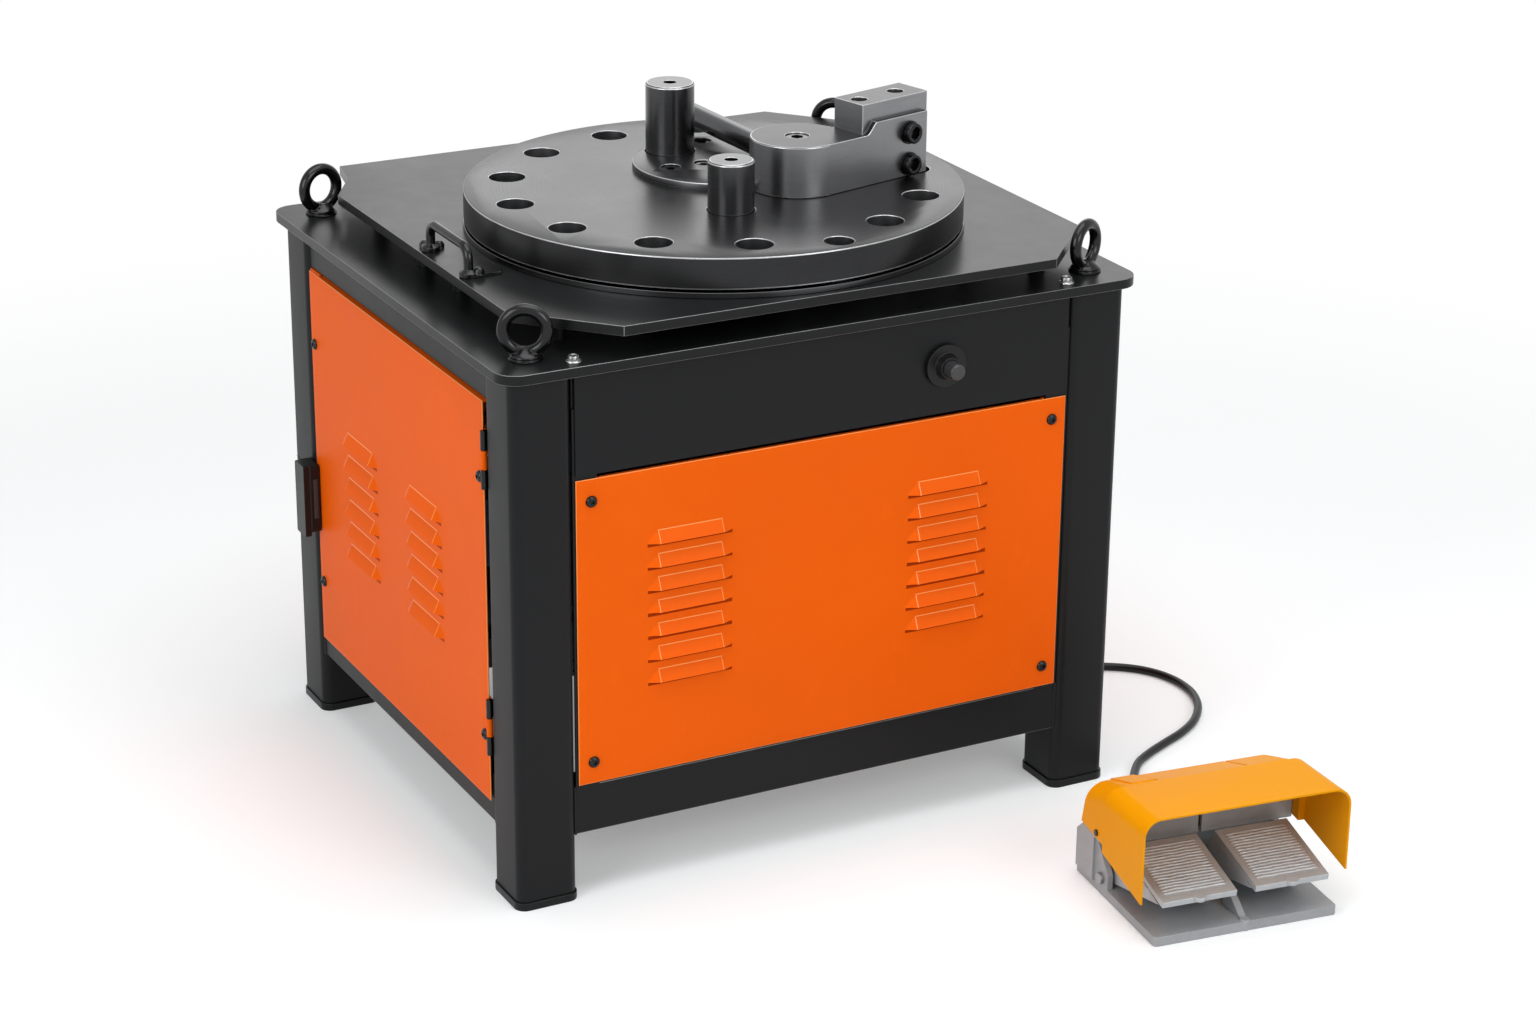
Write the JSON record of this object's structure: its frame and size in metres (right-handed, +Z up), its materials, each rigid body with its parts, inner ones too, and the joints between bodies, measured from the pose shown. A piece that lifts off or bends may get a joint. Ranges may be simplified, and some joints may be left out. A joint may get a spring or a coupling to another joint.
{
  "type": "electric rebar bender",
  "caption": "Steel cabinet on legs with a geared bending disc, bending arm, pins and stop bar on top, louvred panels and a guarded double foot switch on a cable.",
  "frame": {"origin": "on the floor, at the middle of the four feet's threaded holes", "axes": "+X to the machine's right, +Y to its back, +Z up along the spindle"},
  "size_m": [1.068, 1.1514, 0.8463],
  "materials": {
    "frame_paint": "satin black paint",
    "plate_paint": "satin black paint",
    "orange_paint": "satin orange paint",
    "blackened_steel": "turned and blackened",
    "bright_steel": "machined",
    "black_oxide": "black oxide",
    "housing_paint": "grey-blue machine paint",
    "motor_paint": "blue machine paint",
    "box_paint": "light grey paint",
    "black_plastic": "matt moulded",
    "grey_plastic": "matt moulded",
    "belt_rubber": "matt",
    "cable_rubber": "matt sheath",
    "cast_aluminium": "grey cast and painted",
    "yellow_paint": "satin yellow paint",
    "spring_steel": "drawn wire"
  },
  "bodies": {
    "cabinet": {"legs": "frame_paint", "foot_pads": "plate_paint", "lower_rails": "frame_paint", "upper_rails": "frame_paint", "table_plate": "plate_paint", "cover_plate": "plate_paint", "plate_spacers": "plate_paint", "eyebolts": "black_oxide", "plate_bolts": "black_oxide", "grab_handle": "black_oxide", "wear_ring": "blackened_steel", "fascia": "frame_paint", "front_panel": "orange_paint", "right_panel": "orange_paint", "back_panel": "orange_paint", "panel_strips": "frame_paint", "panel_screws": "black_oxide", "drive_bed": "frame_paint", "spindle_housing": "housing_paint", "spindle_bearings": "bright_steel", "gearbox": "housing_paint", "motor": "motor_paint", "v_belts": "belt_rubber", "control_box": "box_paint", "button_bezel": "black_plastic", "switch_block": "black_plastic", "button_spring": "spring_steel", "cable_glands": "black_plastic", "foot_cable": "cable_rubber", "door_hinges": "black_oxide", "pedal_base": "cast_aluminium", "pedal_hood": "yellow_paint", "hood_screws": "black_oxide", "pedal_shaft": "bright_steel", "pedal_switches": "black_plastic", "left_pedal_spring": "spring_steel", "right_pedal_spring": "spring_steel"},
    "turntable": {"bending_disc": "blackened_steel", "hub_plate": "blackened_steel", "hub_screws": "black_oxide", "spindle": "bright_steel", "main_gear": "bright_steel", "arm_bolt": "black_oxide"},
    "arm": {"bending_arm": "blackened_steel", "clamp_block": "blackened_steel", "clamp_screws": "black_oxide", "stop_bar": "blackened_steel"},
    "centre_pin": {"centre_pin": "blackened_steel"},
    "bending_pin": {"bending_pin": "blackened_steel"},
    "output_shaft": {"gearbox_pinion": "bright_steel"},
    "input_shaft": {"driven_pulley": "black_oxide"},
    "motor_shaft": {"motor_pulley": "black_oxide"},
    "button": {"push_button": "grey_plastic"},
    "door": {"side_door": "orange_paint", "door_latch": "black_plastic", "door_screws": "black_oxide"},
    "latch": {"latch_paddle": "grey_plastic"},
    "left_pedal": {"left_pedal": "cast_aluminium"},
    "right_pedal": {"right_pedal": "cast_aluminium"}
  },
  "joints": [
    {"name": "disc_spin", "type": "hinge", "parent": "cabinet", "child": "turntable", "pos_m": [0, -0.052, 0.748], "axis": [0, 0, 1], "continuous": true},
    {"name": "output_spin", "type": "hinge", "parent": "cabinet", "child": "output_shaft", "pos_m": [0.12065, 0.09179, 0.546], "axis": [0, 0, 1], "continuous": true},
    {"name": "input_spin", "type": "hinge", "parent": "cabinet", "child": "input_shaft", "pos_m": [0.12065, 0.09179, 0.108], "axis": [0, 0, 1], "continuous": true},
    {"name": "motor_spin", "type": "hinge", "parent": "cabinet", "child": "motor_shaft", "pos_m": [-0.12935, 0.09179, 0.108], "axis": [0, 0, 1], "continuous": true},
    {"name": "arm_swing", "type": "hinge", "parent": "turntable", "child": "arm", "pos_m": [0.084, -0.105, 0.748], "axis": [0, 0, 1], "range_deg": [-20, 8]},
    {"name": "centre_pin_lift", "type": "slide", "parent": "turntable", "child": "centre_pin", "axis": [0, 0, 1], "range_m": [0, 0.06]},
    {"name": "bending_pin_lift", "type": "slide", "parent": "turntable", "child": "bending_pin", "axis": [0, 0, 1], "range_m": [0, 0.06]},
    {"name": "button_press", "type": "slide", "parent": "cabinet", "child": "button", "axis": [0, 1, 0], "range_m": [0, 0.006], "stiffness_N_per_m": 500, "springref_m": -0.002, "deforming": ["button_spring"]},
    {"name": "door_swing", "type": "hinge", "parent": "cabinet", "child": "door", "pos_m": [-0.4, -0.272, 0.355], "axis": [0, 0, 1], "range_deg": [0, 100]},
    {"name": "latch_press", "type": "slide", "parent": "door", "child": "latch", "axis": [0, 1, 0], "range_m": [0, 0.003], "stiffness_N_per_m": 400, "springref_m": -0.002},
    {"name": "left_pedal_press", "type": "hinge", "parent": "cabinet", "child": "left_pedal", "pos_m": [0.28436, -0.62138, 0.022], "axis": [0.9925, -0.1219, 0], "range_deg": [0, 6], "stiffness_Nm_per_rad": 8, "springref_deg": -5.73, "deforming": ["left_pedal_spring"]},
    {"name": "right_pedal_press", "type": "hinge", "parent": "cabinet", "child": "right_pedal", "pos_m": [0.40247, -0.63588, 0.022], "axis": [0.9925, -0.1219, 0], "range_deg": [0, 6], "stiffness_Nm_per_rad": 8, "springref_deg": -5.73, "deforming": ["right_pedal_spring"]}
  ],
  "couplings": [
    {"joint": "output_spin", "follows": "disc_spin", "ratio": -4},
    {"joint": "input_spin", "follows": "disc_spin", "ratio": -40},
    {"joint": "motor_spin", "follows": "disc_spin", "ratio": -100}
  ]
}
